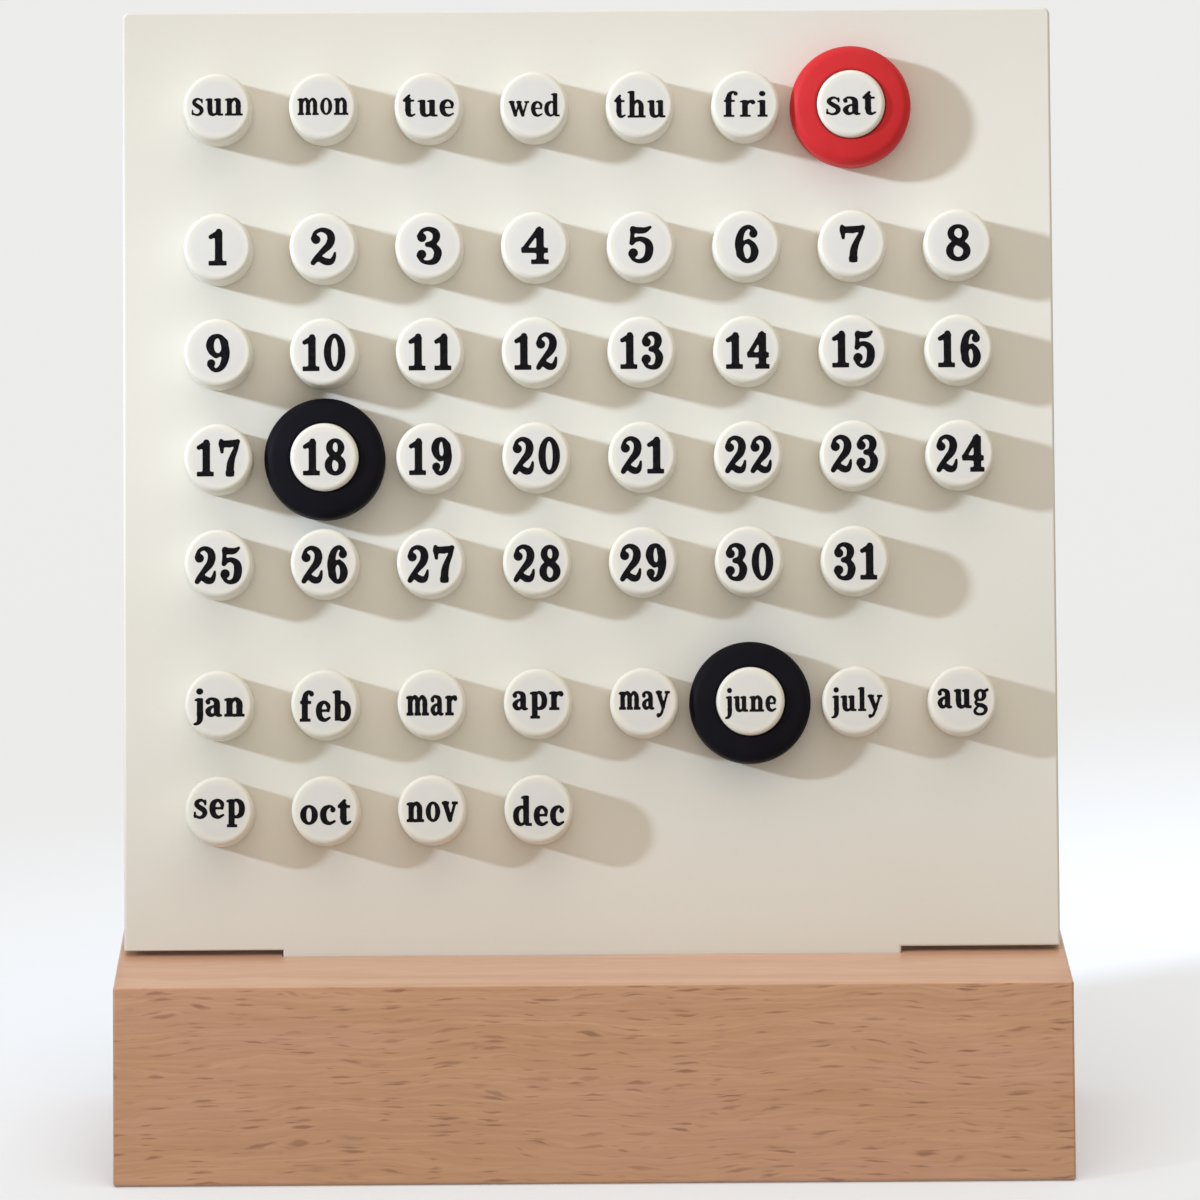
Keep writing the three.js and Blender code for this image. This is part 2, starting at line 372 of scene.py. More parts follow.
def panel_mesh(peg_axes):
    """The panel with rounded rims and a blind hole for each peg's tenon."""
    shape = panel_shape()
    thickness = shape["thickness"]
    tenon_points = about_axis("peg_sun")
    tenon = np.hypot(*tenon_points[tenon_points[:, 2] < 0, :2].T).max()
    hole_depth = -tenon_points[:, 2].min() + HOLE_CLEARANCE
    hole = arc((0, 0), tenon + HOLE_CLEARANCE, 0, 360, TURNED_SIDES)[:-1]

    levels = rim_steps(PANEL_EDGE_RADIUS)
    front = [(inset, depth) for inset, depth in reversed(levels)]
    back = [(inset, thickness - depth) for inset, depth in levels]
    points = []
    faces = []
    loops = []
    for inset, depth in front + back:
        outline = panel_outline(shape, inset, depth)
        loops.append(range(len(points), len(points) + len(outline)))
        points += [(x, y, -depth) for x, y in outline]
    for near, far in zip(loops, loops[1:]):
        faces += bridge(far, near)

    def cap(outlines, depth, facing_out):
        flat, triangles = filled(outlines)
        start = len(points)
        points.extend((x, y, -depth) for x, y in flat)
        for triangle in triangles:
            corners = [start + index for index in triangle]
            faces.append(corners if facing_out else corners[::-1])

    openings = [[(x + axis.x, y + axis.y) for x, y in hole] for axis in peg_axes]
    cap([panel_outline(shape, *front[0]), *openings], 0, True)
    cap([panel_outline(shape, *back[-1])], thickness, False)
    for opening in openings:
        rim = range(len(points), len(points) + len(opening))
        points += [(x, y, 0) for x, y in opening]
        floor = range(len(points), len(points) + len(opening))
        points += [(x, y, -hole_depth) for x, y in opening]
        faces += bridge(rim, floor)
        faces.append(tuple(floor))
    return joined_up(mesh_of("painted_panel", points, faces))


def joined_up(mesh):
    """Merges points that lie on each other, so that the mesh is closed, and faces it outwards."""
    work = bmesh.new()
    work.from_mesh(mesh)
    bmesh.ops.remove_doubles(work, verts=work.verts, dist=MERGE_DISTANCE)
    bmesh.ops.recalc_face_normals(work, faces=work.faces)
    work.to_mesh(mesh)
    work.free()
    return smooth(mesh)


# Block


def block_section(corners, inset):
    """The block's section, drawn in by an inset, with the mortise's two edges as points of its top."""
    front_foot, rear_foot, rear_top, front_top = corners
    radius = BLOCK_EDGE_RADIUS - inset
    lean_degrees = math.degrees(lean)
    half_corner = math.radians((90 - lean_degrees) / 2)
    r = BLOCK_EDGE_RADIUS
    wide = r * math.tan(half_corner)
    narrow = r / math.tan(half_corner)
    section = arc((front_foot[0] + narrow, front_foot[1] + r), radius, 180 - lean_degrees, 270)
    section += arc((rear_foot[0] - r, rear_foot[1] + r), radius, -90, 0)
    section += arc((rear_top[0] - r, rear_top[1] - r), radius, 0, 90)
    section += [(edge, rear_top[1] - inset) for edge in mortise_edges()]
    section += arc((front_top[0] + wide, front_top[1] - r), radius, 90, 180 - lean_degrees)
    return section


def mortise_shape():
    """The mortise's half length, faces and depth, in the panel's frame."""
    points = on_panel("base_block")
    world = points_of("base_block")
    inner = np.abs(world[:, 0]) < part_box("base_block")[1].x - BLOCK_END_MARGIN
    panel = panel_shape()
    return {
        "half": panel["tab"] + MORTISE_GAP,
        "front": MORTISE_GAP,
        "rear": -panel["thickness"] - MORTISE_GAP,
        "depth": -points[inner, 1].min(),
    }


def mortise_edges():
    """Where the mortise's rear and front walls meet the block's top, along y."""
    mortise = mortise_shape()
    foot = PANEL.translation.y
    return [foot - mortise["rear"] / math.cos(lean), foot - mortise["front"] / math.cos(lean)]


def block_mesh():
    """The block, with rounded edges and the leaning mortise."""
    low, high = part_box("base_block")
    front = (points_of("base_block") @ np.array(out_of_panel)).max()
    front_foot, front_top = ((front - out_of_panel.z * z) / out_of_panel.y for z in (low.z, high.z))
    corners = [(front_foot, low.z), (high.y, low.z), (high.y, high.z), (front_top, high.z)]
    mortise = mortise_shape()
    ends = rim_steps(BLOCK_END_RADIUS)
    stations = [(inset, low.x + depth) for inset, depth in reversed(ends)]
    stations += [(0, -mortise["half"]), (0, mortise["half"])]
    stations += [(inset, high.x - depth) for inset, depth in ends]
    points = []
    faces = []
    loops = []
    for inset, x in stations:
        section = block_section(corners, inset)
        loops.append(range(len(points), len(points) + len(section)))
        points += [(x, y, z) for y, z in section]
    corners_before_mortise = 3
    rear_rim = corners_before_mortise * (ROUND_STEPS + 1)
    opening = len(ends)
    for index, (near, far) in enumerate(zip(loops, loops[1:])):
        faces += bridge(near, far, skip=(rear_rim,) if index == opening else ())
    faces.append(tuple(loops[0]))
    faces.append(tuple(reversed(loops[-1])))

    rim = [loops[opening][rear_rim], loops[opening][rear_rim + 1]]
    rim += [loops[opening + 1][rear_rim + 1], loops[opening + 1][rear_rim]]
    floor = []
    for index in rim:
        place = PANEL.inverted() @ Vector(points[index])
        floor.append(len(points))
        points.append(tuple(PANEL @ Vector((place.x, -mortise["depth"], place.z))))
    faces += bridge(rim, floor)
    faces.append(tuple(floor))
    return joined_up(mesh_of("beech_block", points, faces))


# Finishes. Colours are linear, and a grain's sizes are in millimetres along x, y and z.


def rgb(red, green, blue):
    return (red, green, blue, 1.0)


NOISE_SPAN = (0.3, 0.7)  # from the low to the high values of a noise

BEECH_PITH = (0, 0.03, -0.05)  # where the tree's middle would lie beside the block
BEECH_EARLY = rgb(0.64, 0.35, 0.19)
BEECH_LATE = rgb(0.57, 0.30, 0.154)
BEECH_PINK = rgb(0.64, 0.338, 0.213)
BEECH_STREAK = rgb(0.47, 0.235, 0.118)
BEECH_GLEAM = rgb(0.70, 0.40, 0.235)
BEECH_FIBRE = rgb(0.45, 0.225, 0.12)
BEECH_RAY = rgb(0.29, 0.125, 0.055)
BEECH_END_EARLY = rgb(0.50, 0.26, 0.135)
BEECH_END_LATE = rgb(0.30, 0.145, 0.07)
# Tones of the top: its own grain, made paler than the front's as a painted sheen from above
BEECH_TOP_PALE_PAINTED_SHEEN = rgb(0.76, 0.45, 0.295)
BEECH_TOP_DARK_PAINTED_SHEEN = rgb(0.66, 0.375, 0.235)
# Painted shade: a near-black brown mixed into the wood where ambient occlusion finds it hemmed in, as in the
# slit under the panel's shoulders
BEECH_PAINTED_SHADE = rgb(0.08, 0.045, 0.025)
PAINTED_SHADE_REACH = 3.0 * MM

PANEL_WHITES = (rgb(0.795, 0.765, 0.685), rgb(0.775, 0.745, 0.665))
PANEL_SPECKLE = rgb(0.70, 0.66, 0.58)
# The sides' own cream, raised paler as painted light for their lower sides that lie in shade
PEG_SIDES_WITH_PAINTED_LIGHT = (rgb(0.82, 0.785, 0.68), rgb(0.835, 0.80, 0.705))
PEG_FRONTS = (rgb(0.747, 0.728, 0.683), rgb(0.767, 0.748, 0.70))
PEG_CLOUD = rgb(0.70, 0.69, 0.66)
PEG_FRONT_FADE = 0.7 * MM
REDS = (rgb(0.63, 0.025, 0.028), rgb(0.60, 0.020, 0.024))
RED_SHINE = 0.2
BLACKS = (rgb(0.0085, 0.0078, 0.0112), rgb(0.0065, 0.006, 0.009))
BLACK_SHINE = 0.05
INKS = (rgb(0.005, 0.005, 0.007), rgb(0.014, 0.013, 0.015))


class Nodes:
    """A node tree built up node by node."""

    def __init__(self, tree):
        self.tree = tree

    def set(self, node, inputs):
        for key, value in inputs.items():
            if isinstance(value, bpy.types.NodeSocket):
                self.tree.links.new(value, node.inputs[key])
            else:
                node.inputs[key].default_value = value

    def add(self, kind, inputs=None, **settings):
        node = self.tree.nodes.new(kind)
        for key, value in settings.items():
            setattr(node, key, value)
        self.set(node, inputs or {})
        return node

    def range(self, value, low, high, to_low=0.0, to_high=1.0):
        inputs = {0: value, 1: low, 2: high, 3: to_low, 4: to_high}
        return self.add("ShaderNodeMapRange", inputs).outputs["Result"]

    def math(self, operation, *values):
        return self.add("ShaderNodeMath", dict(enumerate(values)), operation=operation).outputs["Value"]

    def vector_math(self, operation, *values):
        return self.add("ShaderNodeVectorMath", dict(enumerate(values)), operation=operation).outputs

    def parts(self, vector):
        return self.add("ShaderNodeSeparateXYZ", {"Vector": vector}).outputs


class Finish(Nodes):
    """A material whose surface shader takes its colour, roughness and normal from nodes."""

    def __init__(self, name, **sockets):
        self.material = bpy.data.materials.new(name)
        self.material.use_nodes = True
        super().__init__(self.material.node_tree)
        self.shader = self.tree.nodes["Principled BSDF"]
        self.finish(**sockets)
        self.place = self.add("ShaderNodeTexCoord").outputs["Object"]

    def finish(self, **sockets):
        """Sets the shader's sockets, named with underscores for spaces."""
        self.set(self.shader, {key.replace("_", " "): value for key, value in sockets.items()})
        return self.material

    def vector(self, operation, first, second):
        return self.vector_math(operation, first, second)["Vector"]

    def length(self, vector):
        return self.vector_math("LENGTH", vector)["Value"]

    def combined(self, **parts):
        return self.add("ShaderNodeCombineXYZ", parts).outputs["Vector"]

    def stretched(self, size, source=None):
        """Coordinates that count one unit for each grain's size."""
        return self.vector("MULTIPLY", source or self.place, [1 / (length * MM) for length in size])

    def swayed(self, place, pattern, most):
        """A place moved up or down by the values of a pattern."""
        return self.vector("ADD", place, self.combined(Z=self.range(pattern, *NOISE_SPAN, -most, most)))

    def noise(self, size, detail, source=None, roughness=0.5):
        inputs = {"Vector": self.stretched(size, source), "Scale": 1.0, "Detail": detail}
        return self.add("ShaderNodeTexNoise", inputs | {"Roughness": roughness}).outputs["Fac"]

    def mix(self, share, first, second):
        node = self.add("ShaderNodeMix", data_type="RGBA")
        self.set(node, {0: share, 6: first, 7: second})
        return node.outputs[2]

    def bump(self, height, strength, distance, normal=None):
        inputs = {"Height": height, "Strength": strength, "Distance": distance}
        if normal:
            inputs["Normal"] = normal
        return self.add("ShaderNodeBump", inputs).outputs["Normal"]


def beech_flecks(wood, place):
    """Short dark rays, as long cells of which some hold one, with fine flecks between them."""
    wavy = wood.swayed(place, wood.noise((11, 8, 5), 1), 0.3 * MM)
    wavy = wood.swayed(wavy, wood.noise((2.6, 2, 1), 1), 0.08 * MM)
    counted = wood.parts(wood.stretched((8, 1000, 0.85), wavy))
    inputs = {"Vector": wood.combined(X=counted["X"], Y=counted["Z"]), "Scale": 1.0, "Exponent": 1.5}
    cells = wood.add("ShaderNodeTexVoronoi", inputs, distance="MINKOWSKI", voronoi_dimensions="2D").outputs
    kind = wood.add("ShaderNodeSeparateColor", {"Color": cells["Color"]}).outputs
    ragged = wood.range(wood.noise((2.2, 0.4, 0.35), 1, wavy), 0.2, 0.8, -0.1, 0.1)
    reach = wood.math("ADD", wood.range(kind["Red"], 0, 1, -0.12, 0.34), ragged)
    ray = wood.range(wood.math("SUBTRACT", reach, cells["Distance"]), -0.05, 0.15)
    ray = wood.math("MULTIPLY", ray, wood.range(kind["Green"], 0, 1, 0.45, 1.0))
    fine = wood.range(wood.noise((5.6, 0.6, 0.46), 1, wavy), 0.62, 0.78, 0.0, 0.42)
    return wood.math("MAXIMUM", ray, fine)


def beech_finish():
    """Oiled steamed beech, its fibres along x, with short dark ray flecks, painted sheen on top, painted
    shade in gaps.
    """
    wood = Finish("beech", Specular_IOR_Level=0.5, Coat_Weight=0.75, Coat_Roughness=0.26)
    place = wood.swayed(wood.place, wood.noise((30, 8, 8), 2), 1.2 * MM)
    from_pith = wood.vector("MULTIPLY", wood.vector("SUBTRACT", place, BEECH_PITH), (0, 1, 1))
    grown = wood.combined(X=wood.parts(wood.place)["X"], Y=wood.length(from_pith))
    rings = wood.noise((160, 2.2, 1000), 4, grown, 0.55)
    broad = wood.noise((45, 12, 9), 3, place)
    streaks = wood.noise((17, 1.2, 0.6), 3, place, 0.6)
    fibres = wood.noise((4, 0.22, 0.22), 2, place, 0.6)
    colour = wood.mix(wood.range(rings, 0.35, 0.68), BEECH_EARLY, BEECH_LATE)
    for pattern, start, full, most, tint in (
        (broad, 0.4, 0.64, 0.7, BEECH_PINK),
        (streaks, 0.42, 0.72, 0.45, BEECH_STREAK),
        (streaks, 0.46, 0.28, 0.45, BEECH_GLEAM),
        (fibres, 0.4, 0.8, 0.15, BEECH_FIBRE),
    ):
        colour = wood.mix(wood.range(pattern, start, full, 0.0, most), colour, tint)

    facing = wood.parts(wood.add("ShaderNodeNewGeometry").outputs["Normal"])
    on_top = wood.range(facing["Z"], 0.45, 0.75, 1.0, 0.15)
    at_end = wood.range(wood.math("ABSOLUTE", facing["X"]), 0.5, 0.8)
    shown = wood.math("MULTIPLY", on_top, wood.range(at_end, 0, 1, 1.0, 0.35))
    fleck = wood.math("MULTIPLY", beech_flecks(wood, place), shown)
    colour = wood.mix(wood.math("MULTIPLY", fleck, 0.85), colour, BEECH_RAY)
    end_grain = wood.mix(wood.range(rings, 0.45, 0.6), BEECH_END_EARLY, BEECH_END_LATE)
    colour = wood.mix(wood.math("MULTIPLY", at_end, 0.45), colour, end_grain)
    sawn = wood.math("ADD", rings, wood.math("MULTIPLY", streaks, 0.5))
    # Upward faces take their own grain streaks in paler tones, as a painted sheen
    top_grain_with_painted_sheen = wood.mix(wood.range(sawn, 0.6, 0.9), BEECH_TOP_PALE_PAINTED_SHEEN, BEECH_TOP_DARK_PAINTED_SHEEN)
    colour = wood.mix(wood.range(facing["Z"], 0.5, 0.9, 0.0, 0.7), colour, top_grain_with_painted_sheen)
    # Painted shade: the wood darkens where ambient occlusion within this reach finds it hemmed in, as in the
    # slit under the shoulders
    painted_shade_occlusion = wood.add("ShaderNodeAmbientOcclusion", {"Distance": PAINTED_SHADE_REACH}, samples=8).outputs["AO"]
    colour = wood.mix(wood.range(painted_shade_occlusion, 0.12, 0.40, 0.3, 0.0), colour, BEECH_PAINTED_SHADE)

    relief = wood.bump(fibres, 0.12, 0.06 * MM)
    relief = wood.bump(fleck, 0.1, 0.05 * MM, relief)
    roughness = wood.range(rings, *NOISE_SPAN, 0.34, 0.44)
    return wood.finish(Base_Color=colour, Roughness=roughness, Normal=relief)


def panel_finish():
    """Matt warm-white paint, sprayed over fine sanded fibreboard."""
    paint = Finish("panel_paint", Specular_IOR_Level=0.25)
    cloudy = paint.noise((35, 35, 35), 3)
    speckle = paint.noise((1.2, 1.2, 1.2), 2)
    colour = paint.mix(paint.range(cloudy, *NOISE_SPAN), *PANEL_WHITES)
    colour = paint.mix(paint.range(speckle, 0.62, 0.8, 0.0, 0.2), colour, PANEL_SPECKLE)
    peel = paint.bump(paint.noise((0.7, 0.7, 0.7), 2), 0.12, 0.05 * MM)
    roughness = paint.range(cloudy, *NOISE_SPAN, 0.58, 0.68)
    return paint.finish(Base_Color=colour, Roughness=roughness, Normal=peel)


def peg_finish():
    """Satin cream paint with a cooler white face; the cream sides are painted paler as painted light. Each
    peg differs a little from the next.
    """
    paint = Finish("peg_paint", Specular_IOR_Level=0.35)
    kind = paint.add("ShaderNodeObjectInfo").outputs["Random"]
    cloudy = paint.noise((4, 4, 4), 2)
    radius = paint.length(paint.vector("MULTIPLY", paint.place, (1, 1, 0)))
    rim = PEG_RADIUS - PEG_NOSE_RADIUS
    outwards = paint.range(radius, rim - PEG_FRONT_FADE, rim)
    # The face's cooler white blends into the sides' cream, which is also painted paler as painted light
    colour = paint.mix(outwards, paint.mix(kind, *PEG_FRONTS), paint.mix(kind, *PEG_SIDES_WITH_PAINTED_LIGHT))
    colour = paint.mix(paint.range(cloudy, 0.35, 0.7, 0.0, 0.3), colour, PEG_CLOUD)
    peel = paint.bump(paint.noise((0.6, 0.6, 0.6), 2), 0.1, 0.04 * MM)
    roughness = paint.range(cloudy, *NOISE_SPAN, 0.42, 0.52)
    return paint.finish(Base_Color=colour, Roughness=roughness, Normal=peel)


def plastic_finish(name, tones, shine):
    """Matt moulded plastic with a fine texture."""
    plastic = Finish(name, Specular_IOR_Level=shine)
    colour = plastic.mix(plastic.range(plastic.noise((6, 6, 6), 2), *NOISE_SPAN), *tones)
    grain = plastic.noise((0.3, 0.3, 0.3), 2)
    roughness = plastic.range(grain, *NOISE_SPAN, 0.5, 0.62)
    return plastic.finish(Base_Color=colour, Roughness=roughness, Normal=plastic.bump(grain, 0.15, 0.03 * MM))


def ink_finish():
    """Black pad-printed ink, a little thin in places."""
    ink = Finish("label_ink", Specular_IOR_Level=0.06)
    thin = ink.noise((0.8, 0.8, 0.8), 3)
    colour = ink.mix(ink.range(thin, 0.45, 0.8), *INKS)
    return ink.finish(Base_Color=colour, Roughness=ink.range(thin, *NOISE_SPAN, 0.4, 0.55))


# Figures and letters, drawn as strokes and bars

CURVE_STEPS = 8
OVAL_STEPS = 48


def pen(*points):
    """A smooth stroke through points given as x, y, width."""
    knots = np.array([points[0], *points, points[-1]], float)
    rows = []
    for before, start, end, after in zip(knots, knots[1:], knots[2:], knots[3:]):
        for step in range(CURVE_STEPS):
            t = step / CURVE_STEPS
            bend = (2 * before - 5 * start + 4 * end - after) * t**2
            twist = (3 * start - before - 3 * end + after) * t**3
            rows.append(start + ((end - before) * t + bend + twist) / 2)
    return np.array([*rows, knots[-1]])


def oval(x, y, across, up, side, top):
    """A closed stroke round a centre, as wide as side at its left and right and as top above and below."""
    turn = np.linspace(0, 2 * math.pi, OVAL_STEPS + 1)
    width = top + (side - top) * np.cos(turn) ** 2
    return np.c_[x + across * np.cos(turn), y + up * np.sin(turn), width]


def line(*points):
    """A straight-sided stroke through points given as x, y, width."""
    return np.array(points, float)


def dot(x, y, width):
    """A round blot."""
    return np.array([[x, y, width]])


def bar(left, foot, right, top):
    """An upright box."""
    return (left, foot, right, top)


def half_turned(shapes, width, height):
    """The same shapes, turned by half a turn in a box of that width and height."""
    made = []
    for shape in shapes:
        if isinstance(shape, tuple):
            made.append((width - shape[2], height - shape[3], width - shape[0], height - shape[1]))
        else:
            made.append(np.c_[width - shape[:, 0], height - shape[:, 1], shape[:, 2]])
    return made


SIX = [
    pen((54, 83, 8), (46, 93, 10), (34, 97, 10), (20, 88, 14), (11.5, 68, 18), (9.5, 46, 20), (13, 21, 17)),
    pen((13, 21, 17), (22, 7, 12), (34, 3, 10), (47, 11, 16), (52.5, 29, 19), (47, 47, 15), (36, 57, 10)),
    pen((36, 57, 10), (25, 54, 8), (16, 43, 6)),
    dot(49, 78, 20),
]
SIX_WIDTH = 62

FIGURES = {
    "0": [oval(33, 50, 24.5, 46, 17.5, 10)],
    "1": [bar(17.5, 4, 35.5, 88), line((27, 92, 15), (24, 88, 12), (5, 78, 10)), bar(0, 0, 47, 10.5)],
    "2": [
        dot(13, 69, 22),
        pen((5, 73, 8), (12, 89, 8), (30, 96, 10), (49, 88, 16), (55, 72, 19), (49, 54, 18), (33, 38, 14),
            (17, 22, 11), (6, 6, 10)),
        pen((4, 4, 8), (12, 13, 11), (24, 15, 14), (40, 8, 17), (54, 8, 14), (62, 19, 9), (65, 32, 4)),
    ],
    "3": [
        dot(13, 72, 22), dot(12, 26, 23),
        pen((5, 77, 8), (14, 91, 8), (31, 96, 10), (48, 89, 16), (53, 75, 18), (46, 60, 14), (28, 53, 9)),
        pen((28, 53, 9), (44, 49, 13), (55, 37, 18), (56, 24, 19), (48, 8, 16), (30, 3, 10), (13, 8, 8),
            (4, 22, 8)),
    ],
    "4": [
        line((49, 98, 8), (45, 92, 10), (6, 40, 10)), bar(41.5, 4, 59.5, 96), bar(1, 31, 71, 43),
        bar(27, 0, 73, 10.5),
    ],
    "5": [
        line((12, 94, 9), (9, 54, 9)), pen((13, 90, 14), (30, 88, 16), (46, 89, 13), (60, 97, 5)),
        pen((9, 53, 8), (20, 62, 10), (35, 64, 12), (53, 54, 17), (57, 34, 20), (50, 12, 17), (31, 3, 10),
            (14, 8, 8), (5, 22, 8)),
        dot(13, 26, 23),
    ],
    "6": SIX,
    "7": [
        line((5, 97, 8), (6, 84, 11), (8, 66, 7)),
        line((8, 88, 15), (34, 88, 18), (52, 91, 14), (61, 95, 9)),
        pen((62, 94, 8), (55, 74, 11), (44, 53, 14), (37, 32, 18), (35, 9, 19)), bar(25, 0, 45, 10),
    ],
    "8": [
        oval(32, 75, 20, 20, 16, 9), oval(32, 27, 23.5, 23, 18, 10),
        pen((15, 66, 10), (32, 51, 15), (50, 38, 11)),
    ],
    "9": half_turned(SIX, SIX_WIDTH, GLYPH_SCALE),
}

NARROW_BAR = 12  # half width up to which a bar is a stem, and keeps its width in a pair
STEM = 27
SERIF = 12
SMALL_TOP = 98
ASCENDER = 150


def stem(x, foot, top):
    return bar(x - STEM / 2, foot, x + STEM / 2, top)


def foot_serif(x, y=0, left=24, right=24):
    return bar(x - left, y, x + right, y + SERIF)


def flag(x, top):
    """The wedge at a stem's top left."""
    return line((x - 20, top - 10, 9), (x - 6, top - 8, 14), (x + 4, top - 9, 16))


def flagged(x, top=SMALL_TOP, foot=4):
    """A stem with its wedge."""
    return [stem(x, foot, top - 4), flag(x, top)]


def arch(start, end):
    """The branch of an n from one stem to the next."""
    middle = (start + end) / 2 + 10
    return pen((start + 8, 70, 8), (start + 20, 88, 15), (middle, 91, 19), (end - 1, 74, 26), (end, 54, STEM))


LEFT_BOWL = pen((60, 82, 8), (44, 93, 13), (21, 79, 24), (14, 50, 27), (20, 20, 24), (40, 6, 14), (60, 18, 8))
RIGHT_BOWL = pen(
    (26, 80, 8), (44, 93, 13), (66, 79, 24), (73, 50, 27), (67, 20, 24), (46, 7, 14), (24, 16, 8),
)

LETTERS = {
    "a": [
        dot(14, 75, 20),
        pen((8, 82, 10), (20, 92, 12), (36, 93, 14), (54, 82, 24), (57, 60, STEM), (57, 24, STEM),
            (62, 8, 18), (76, 6, 10)),
        pen((52, 56, 8), (30, 50, 13), (14, 30, 24), (22, 10, 20), (38, 8, 14), (52, 20, 8)),
    ],
    "b": [*flagged(22, ASCENDER), RIGHT_BOWL],
    "c": [
        dot(59, 74, 22),
        pen((64, 82, 9), (46, 94, 12), (21, 79, 24), (14, 49, 27), (22, 18, 24), (44, 6, 15), (67, 17, 9)),
    ],
    "d": [*flagged(66, ASCENDER, 6), LEFT_BOWL, foot_serif(76, 0, 10, 18)],
    "e": [
        pen((62, 52, 10), (61, 76, 18), (42, 93, 13), (20, 79, 24), (14, 49, 27), (22, 18, 24), (44, 6, 15),
            (67, 17, 9)),
        bar(14, 47, 64, 57),
    ],
    "f": [
        stem(24, 4, 110), pen((24, 104, 27), (29, 130, 22), (44, 143, 14), (60, 140, 10)),
        dot(58, 132, 20), bar(2, 86, 54, 98), foot_serif(24, 0, 24, 27),
    ],
    "g": [
        oval(38, 66, 22, 25, 23, 11),
        pen((24, 44, 8), (13, 30, 13), (24, 17, 17), (50, 12, 20), (69, -4, 20), (60, -26, 14), (36, -33, 11),
            (12, -26, 14), (9, -10, 13), (24, 6, 9)),
        line((56, 84, 9), (78, 93, 13)),
    ],
    "h": [*flagged(22, ASCENDER), arch(22, 70), stem(70, 4, 56), foot_serif(22), foot_serif(70)],
    "i": [*flagged(22), foot_serif(22), dot(21, 133, 31)],
    "j": [
        *flagged(26, foot=10), pen((26, 12, STEM), (25, -16, 25), (16, -34, 17), (0, -40, 10)),
        dot(25, 133, 31),
    ],
    "l": [*flagged(22, ASCENDER), foot_serif(22)],
    "m": [
        *flagged(22), arch(22, 68), stem(68, 4, 56), arch(68, 114), stem(114, 4, 56),
        foot_serif(22, 0, 22, 20), foot_serif(68, 0, 18, 20), foot_serif(114, 0, 18, 24),
    ],
    "n": [*flagged(22), arch(22, 70), stem(70, 4, 56), foot_serif(22), foot_serif(70)],
    "o": [oval(40, 50, 27, 44, 26, 12)],
    "p": [stem(22, -36, 92), flag(22, SMALL_TOP), RIGHT_BOWL, foot_serif(22, -45, 22, 26)],
    "r": [
        *flagged(22), pen((28, 66, 8), (42, 87, 15), (60, 92, 12)), dot(60, 83, 23),
        foot_serif(22, 0, 24, 27),
    ],
    "s": [
        pen((56, 82, 10), (38, 94, 12), (19, 86, 18), (15, 70, 21), (32, 55, 24), (50, 42, 24), (55, 25, 21),
            (44, 9, 16), (26, 5, 12), (6, 14, 10)),
        line((57, 92, 7), (57, 72, 8)), line((6, 7, 7), (6, 30, 8)),
    ],
    "t": [
        stem(26, 34, 108), line((32, 122, 13), (22, 108, 18), (8, 96, 9)),
        pen((26, 36, STEM), (29, 14, 24), (42, 6, 15), (58, 14, 9)), bar(2, 86, 56, 98),
    ],
    "u": [
        *flagged(22, foot=40), pen((22, 42, STEM), (25, 16, 25), (40, 6, 17), (56, 12, 11), (66, 28, 8)),
        *flagged(68), foot_serif(76, 0, 10, 18),
    ],
    "v": [
        line((18, 90, 26), (44, 10, 22)), line((46, 8, 13), (72, 92, 13)), bar(0, 88, 38, 99),
        bar(56, 88, 88, 99),
    ],
    "w": [
        line((18, 90, 25), (40, 10, 21)), line((41, 8, 12), (63, 88, 12)),
        line((60, 90, 24), (84, 10, 21)), line((85, 8, 12), (109, 92, 12)), bar(0, 88, 36, 99),
        bar(46, 88, 78, 99), bar(94, 88, 124, 99),
    ],
    "y": [
        line((18, 90, 26), (46, 14, 22)),
        pen((74, 92, 12), (60, 48, 13), (44, 2, 14), (32, -26, 14), (14, -38, 11)), dot(14, -32, 21),
        bar(0, 88, 38, 99), bar(58, 88, 90, 99),
    ],
}
LEAST_SPAN = 1e-9  # keeps two points on one spot from dividing by nothing


def depth_in(shape, x, y):
    """How far each place lies inside a stroke or bar, negative outside it."""
    if isinstance(shape, tuple):
        left, foot, right, top = shape
        across = np.abs(x - (left + right) / 2) - (right - left) / 2
        up = np.abs(y - (foot + top) / 2) - (top - foot) / 2
        outside = np.hypot(np.maximum(across, 0), np.maximum(up, 0))
        return -(outside + np.minimum(np.maximum(across, up), 0))
    if len(shape) == 1:
        return shape[0, 2] / 2 - np.hypot(x - shape[0, 0], y - shape[0, 1])
    best = np.full(x.shape, -np.inf)
    for (x0, y0, w0), (x1, y1, w1) in zip(shape, shape[1:]):
        dx, dy = x1 - x0, y1 - y0
        span = max(dx * dx + dy * dy, LEAST_SPAN)
        along = np.clip(((x - x0) * dx + (y - y0) * dy) / span, 0, 1)
        away = np.hypot(x - x0 - along * dx, y - y0 - along * dy)
        best = np.maximum(best, (w0 + along * (w1 - w0)) / 2 - away)
    return best


def glyph_depth(shapes, x, y):
    """How far each place lies inside a glyph, whose strokes flow into each other a little."""
    total = depth_in(shapes[0], x, y)
    for shape in shapes[1:]:
        other = depth_in(shape, x, y)
        near = np.maximum(OUTLINE_BLEND - np.abs(total - other), 0) / OUTLINE_BLEND
        total = np.maximum(total, other) + near**2 * OUTLINE_BLEND / 4
    return total


def glyph_box(shapes):
    """Left, foot, right and top of a glyph."""
    lows = []
    highs = []
    for shape in shapes:
        if isinstance(shape, tuple):
            lows.append(shape[:2])
            highs.append(shape[2:])
        else:
            lows.append((shape[:, :2] - shape[:, 2:] / 2).min(axis=0))
            highs.append((shape[:, :2] + shape[:, 2:] / 2).max(axis=0))
    return (*np.min(lows, axis=0), *np.max(highs, axis=0))


